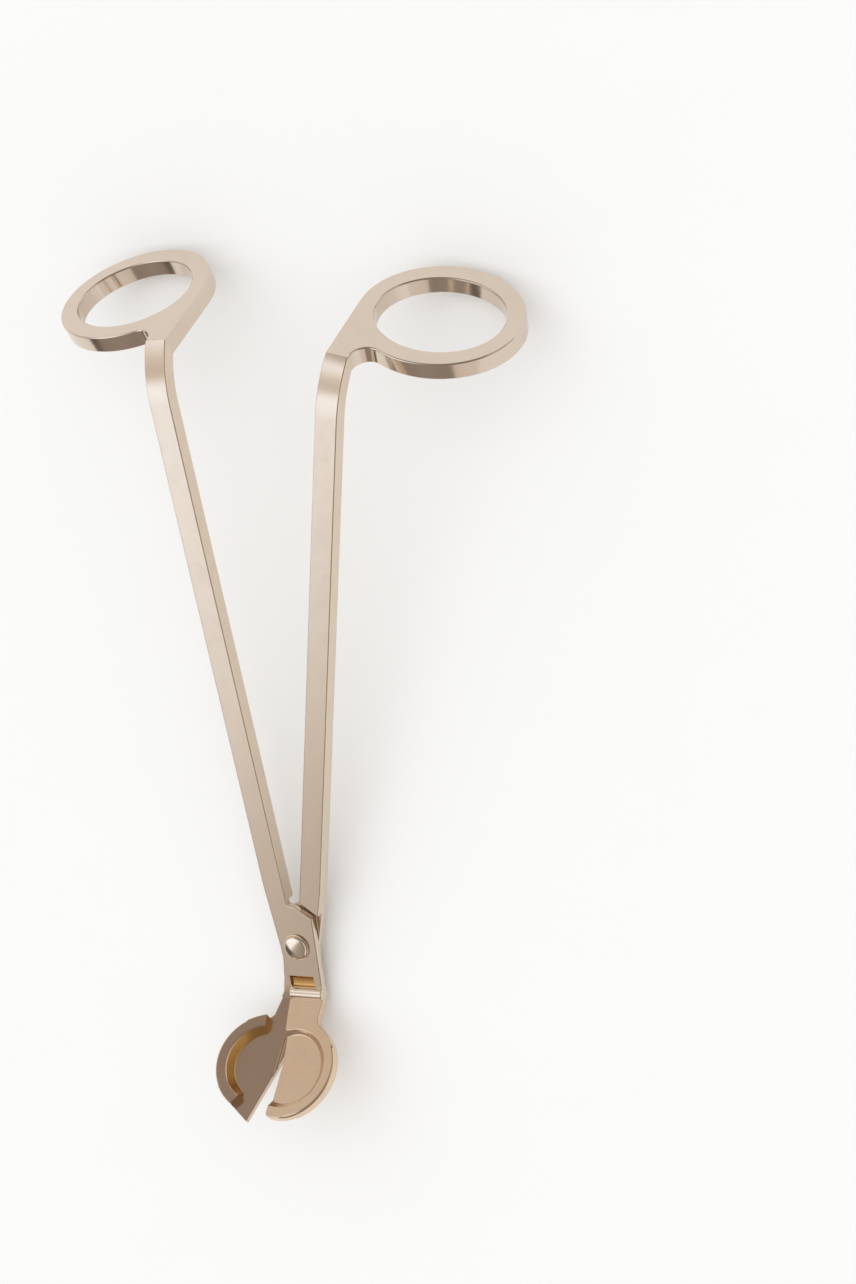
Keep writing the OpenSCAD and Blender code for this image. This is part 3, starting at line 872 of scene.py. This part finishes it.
# ---- laying each piece in its place ----
ringSeam = turn(closedHalf, "Y") @ ringPlane
seams = {
    "rear": [(ringSeam, ring["seamBack"]), (dishPlane, -seamV)],
    "front": [(flip @ ringSeam, ring["seamBack"]), (dishPlane, -seamV)],
}


# In the scoop, or on its edge
def inScoop(p):
    left, right = scoop["sides"]
    near = scoop["near"]
    return (left - near < p.x < right + near and scoop["line"][-1][1] < p.z < scoop["line"][0][1]
            and frontY - near / 2 < p.y < frontY + scoop["deepest"])


def onSeam(edge, planes):
    near = 0.02
    for place, level in planes:
        if all(abs((place @ v.co).y - level) < near for v in edge.verts):
            return True
    return False


# Joins stray points, marks the edges that are rounded, and lays the piece on its half.
# tight(point) picks places that stay sharp, and deep(point) the faces that get the painted hollow shade and
# reflection
def settle(solid, name, half, node, slot, edge, sharpest=24.0, deep=None, tight=inScoop):
    planes = [(place.inverted(), level) for place, level in seams[half]]
    facet = 0.4          # the least angle, in degrees, between the facets of a curved face
    largest = 15.0       # a facet of more square millimetres is a flat face
    boreZone = 2.0       # edges nearer the pivot stay sharp
    stray = 0.004
    bm = bmesh.new()
    bm.from_mesh(solid.data)
    bmesh.ops.remove_doubles(bm, verts=bm.verts, dist=stray)
    weight = bm.edges.layers.float.new("bevel_weight_edge")
    grain = bm.verts.layers.float_vector.new("grain")
    for v in bm.verts:
        v[grain] = v.co
    curved = set()
    for e in bm.edges:
        angle = math.degrees(e.calc_face_angle(0)) if len(e.link_faces) == 2 else 0
        corner = angle > sharpest
        crisp = corner and (onSeam(e, planes) or not e.is_convex
                            or all(math.hypot(v.co.x, v.co.z) < boreZone or tight(v.co) for v in e.verts))
        e[weight] = 1.0 if corner and not crisp else 0.0
        e.smooth = not crisp
        if facet < angle <= sharpest:
            curved.update(e.link_faces)
    for f in bm.faces:
        f.smooth = f in curved and f.calc_area() < largest
        # faces that deep picks get the second slot, the painted hollow shade and reflection
        f.material_index = 1 if deep and deep(f.calc_center_median()) else 0
    bm.transform(halves[half + "_half"])
    solid.data.materials.clear()
    solid.data.materials.append(golds[slot])
    if deep:
        solid.data.materials.append(golds["painted_hollow_shade_gold"])
    bm.to_mesh(solid.data)
    bm.free()
    solid.name = name
    solid.data.name = name
    rounding = solid.modifiers.new("rounding", "BEVEL")
    rounding.limit_method = "WEIGHT"
    rounding.width = edge * mm
    rounding.segments = 4
    rounding.use_clamp_overlap = False
    rounding.miter_outer = "MITER_ARC"
    shading = solid.modifiers.new("shading", "WEIGHTED_NORMAL")
    shading.weight = 100
    shading.keep_sharp = True
    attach(solid, half + "_half")
    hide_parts(node)
    print(name, "laid in place")
    return solid


def mirrored(solid):
    solid.data.transform(flip)
    solid.data.flip_normals()
    return solid


settle(ringPlate("ringPlate"), "rearRing", "rear", "rear_finger_ring", "ring_gold", ring["edge"])
settle(mirrored(ringPlate("ringPlate")), "frontRing", "front", "front_finger_ring", "ring_gold", ring["edge"])


# The sloping wall under the lower rim, which gets the painted hollow shade and reflection
def onLowerSlope(centre):
    p = dishPlane.inverted() @ centre
    belowRim = 0.3
    aboveFloor = 0.05
    within = 0.3
    beyond = 0.4
    return (lowerBlade["rimDrop"] + belowRim < -p.z < lowerTop - aboveFloor
            and floorRadius - within < p.xy.length < rimInner + beyond)


# Near either end of the lower rim, where the edges stay sharp
def atRimEnd(p):
    near = 1.0
    q = dishPlane.inverted() @ p
    return any(math.dist(q.xy, corner) < near for corner in rimCorners())


# The thin wedges behind the neck's bend
def behindNeck(p):
    below = 0.2
    behind = 0.3
    return inScoop(p) or (p.z < lap["topZ"] - below and p.y > frontY + behind)


settle(rearShank(), "rearBar", "rear", "rear_shank", "bar_gold", bar["edge"])
# the deeper faces of the scoop get the painted hollow shade and reflection
settle(frontShank(), "frontBar", "front", "front_shank", "bar_gold", bar["edge"],
       deep=lambda p: inScoop(p) and p.y > frontY + scoop["paintedShadeFrom"], tight=behindNeck)
settle(lowerBladeSolid(), "lowerBlade", "rear", "rear_blade", "lower_blade_gold", lowerBlade["edge"],
       deep=onLowerSlope, tight=atRimEnd)
settle(upperBladeSolid(), "upperBlade", "front", "front_blade", "upper_blade_gold", upperBlade["edge"])
settle(rivetSolid(), "rivetDome", "rear", "pivot_rivet", "rivet_gold", rivet["edge"], rivet["sharpest"])
settle(washerSolid(), "rivetWasher", "rear", "rivet_washer", "washer_gold", rivet["edge"], rivet["sharpest"])


# ---- floor, light and camera ----
stage = {
    "floorSize": 6.0,
    "floorGap": 0.00005,
    "floorTone": (0.95, 0.948, 0.942),
    # brightness that reflections see, by azimuth from +Y towards +X: near the horizon, and above it
    "low": [(-180, 0.32), (-160, 0.36), (-143, 0.32), (-139, 0.15), (-126, 0.15), (-120, 0.5), (-110, 0.7),
            (-60, 0.74), (-44, 0.74), (-32, 0.46), (-15, 0.4), (20, 0.45), (60, 0.8), (100, 0.78),
            (140, 0.86), (165, 0.8), (172, 0.76), (174, 0.34)],
    "high": [(-180, 0.3), (-150, 0.42), (-139.5, 0.6), (-138, 0.72), (-135, 1.0), (-132.5, 1.14),
             (-130, 1.16), (-120, 1.22), (-113, 1.3), (-106, 1.22), (-99, 0.95), (-95, 0.74), (-84, 0.76),
             (-72, 0.88), (-62, 1.08), (-55, 1.3), (-50, 1.16), (-44, 0.66), (-34, 0.4), (-20, 0.36),
             (20, 0.3), (150, 0.28)],
    "between": (27.0, 34.0),   # elevations over which one gives way to the other
    # tint at some brightnesses
    "tints": [(0.3, (1.0, 0.87, 0.78)), (0.65, (1.0, 0.9, 0.82)), (0.85, (1.0, 0.95, 0.91)),
              (1.0, (1.0, 1.0, 1.03)), (1.25, (1.0, 1.09, 1.24))],
    "fill": (0.92, 0.92, 0.915),
    "overheadWatts": 4.0,
    "overheadSize": 2.4,
    "overheadHigh": 1.3,
}

view = {
    # the camera's line, from the upright position: to the side, from above, and a slight roll
    "azimuth": 28.38,
    "elevation": 24.29,
    "roll": 0.4,
    "lean": 5.33,
    "centre": (26.22, 62.21, 573.2),   # right, up and back from the pivot, in millimetres
    "lens": 116.9,
    "sensor": 36.0,
}


def floorMaterial():
    material = bpy.data.materials.new("paleFloor")
    material.use_nodes = True
    tree = material.node_tree
    shader = tree.nodes["Principled BSDF"]
    shader.inputs["Roughness"].default_value = 0.9
    place = addNode(tree, "ShaderNodeNewGeometry").outputs["Position"]
    noise = addNode(tree, "ShaderNodeTexNoise", {"Vector": place, "Scale": 60.0, "Detail": 3.0})
    ramp = addNode(tree, "ShaderNodeValToRGB", {"Fac": noise.outputs["Fac"]})
    tone = stage["floorTone"]
    ramp.color_ramp.elements[0].color = (*[c * 0.99 for c in tone], 1.0)
    ramp.color_ramp.elements[1].color = (*tone, 1.0)
    tree.links.new(ramp.outputs["Color"], shader.inputs["Base Color"])
    return material


def makeFloor():
    half = stage["floorSize"] / 2
    bm = bmesh.new()
    bm.faces.new([bm.verts.new((x, y, cadBox[0][2] - stage["floorGap"])) for x, y in
                  ((-half, -half), (half, -half), (half, half), (-half, half))])
    floor = newSolid("floor", bm)
    floor.data.materials.append(floorMaterial())


def tinted(tone):
    tints = stage["tints"]
    for (low, first), (high, second) in zip(tints, tints[1:]):
        if tone <= high:
            break
    share = min(1, max(0, (tone - low) / (high - low)))
    return (*(tone * (p + (q - p) * share) for p, q in zip(first, second)), 1.0)


# Even light for the floor; reflections see a studio that changes round the compass, with two broad
# bright panels high up and darker gaps below them
def makeSky():
    world = bpy.data.worlds.new("softSky")
    bpy.context.scene.world = world
    world.use_nodes = True
    tree = world.node_tree
    tree.nodes.clear()
    where = addNode(tree, "ShaderNodeTexCoord").outputs["Generated"]
    axes = addNode(tree, "ShaderNodeSeparateXYZ", {0: where}).outputs
    azimuth = addNode(tree, "ShaderNodeMath", {0: axes["X"], 1: axes["Y"]}, operation="ARCTAN2").outputs[0]
    compass = addNode(tree, "ShaderNodeMapRange", {"Value": azimuth, "From Min": -math.pi,
                                                   "From Max": math.pi})
    bands = []
    for name in ("low", "high"):
        band = addNode(tree, "ShaderNodeValToRGB", {"Fac": compass.outputs["Result"]})
        stops = band.color_ramp.elements
        for i, (angle, tone) in enumerate(stage[name]):
            stop = stops[i] if i < 2 else stops.new(1.0)
            stop.position = (angle + 180) / 360
            stop.color = tinted(tone)
        last = stops.new(1.0)
        last.color = tinted(stage[name][0][1])
        bands.append(band.outputs["Color"])
    low, high = stage["between"]
    rise = addNode(tree, "ShaderNodeMapRange",
                   {"Value": axes["Z"], "From Min": sind(low), "From Max": sind(high)},
                   interpolation_type="SMOOTHSTEP")
    sky = addNode(tree, "ShaderNodeMix", {"Factor": rise.outputs["Result"], 6: bands[0], 7: bands[1]},
                  data_type="RGBA")
    shaped = addNode(tree, "ShaderNodeBackground", {"Color": sky.outputs[2]})
    even = addNode(tree, "ShaderNodeBackground", {"Color": (*stage["fill"], 1.0)})
    path = addNode(tree, "ShaderNodeLightPath").outputs["Is Glossy Ray"]
    mixed = addNode(tree, "ShaderNodeMixShader", {0: path, 1: even.outputs[0], 2: shaped.outputs[0]})
    out = tree.nodes.new("ShaderNodeOutputWorld")
    tree.links.new(mixed.outputs[0], out.inputs["Surface"])


def makeOverhead():
    lamp = bpy.data.lights.new("overhead", "AREA")
    lamp.shape = "SQUARE"
    lamp.size = stage["overheadSize"]
    lamp.energy = stage["overheadWatts"]
    light = bpy.data.objects.new("overhead", lamp)
    bpy.context.scene.collection.objects.link(light)
    light.location = (0, 0, stage["overheadHigh"])
    light.visible_glossy = False


def makeCamera():
    a = view["azimuth"]
    e = view["elevation"]
    right = Vector((cosd(a), sind(a), 0))
    ahead = Vector((-sind(a) * cosd(e), cosd(a) * cosd(e), -sind(e)))
    up = Vector((-sind(a) * sind(e), cosd(a) * sind(e), cosd(e)))
    roll = turn(0, "X")
    roll.col[0].xyz = right * cosd(view["roll"]) + up * sind(view["roll"])
    roll.col[1].xyz = up * cosd(view["roll"]) - right * sind(view["roll"])
    roll.col[2].xyz = -ahead
    x, y, z = view["centre"]
    roll.col[3].xyz = roll.col[0].xyz * x + roll.col[1].xyz * y + roll.col[2].xyz * z
    lens = bpy.data.cameras.new("camera")
    lens.lens = view["lens"]
    lens.sensor_fit = "HORIZONTAL"
    lens.sensor_width = view["sensor"]
    camera = bpy.data.objects.new("camera", lens)
    bpy.context.scene.collection.objects.link(camera)
    place = upright @ turn(view["lean"], "Y") @ roll
    camera.matrix_world = Matrix.LocRotScale(place.translation, place.to_quaternion(), (1, 1, 1))
    bpy.context.scene.camera = camera


makeFloor()
makeSky()
makeOverhead()
makeCamera()
bpy.context.scene.view_settings.view_transform = "Standard"
print("floor, light and camera are set")

bpy.context.view_layer.update()
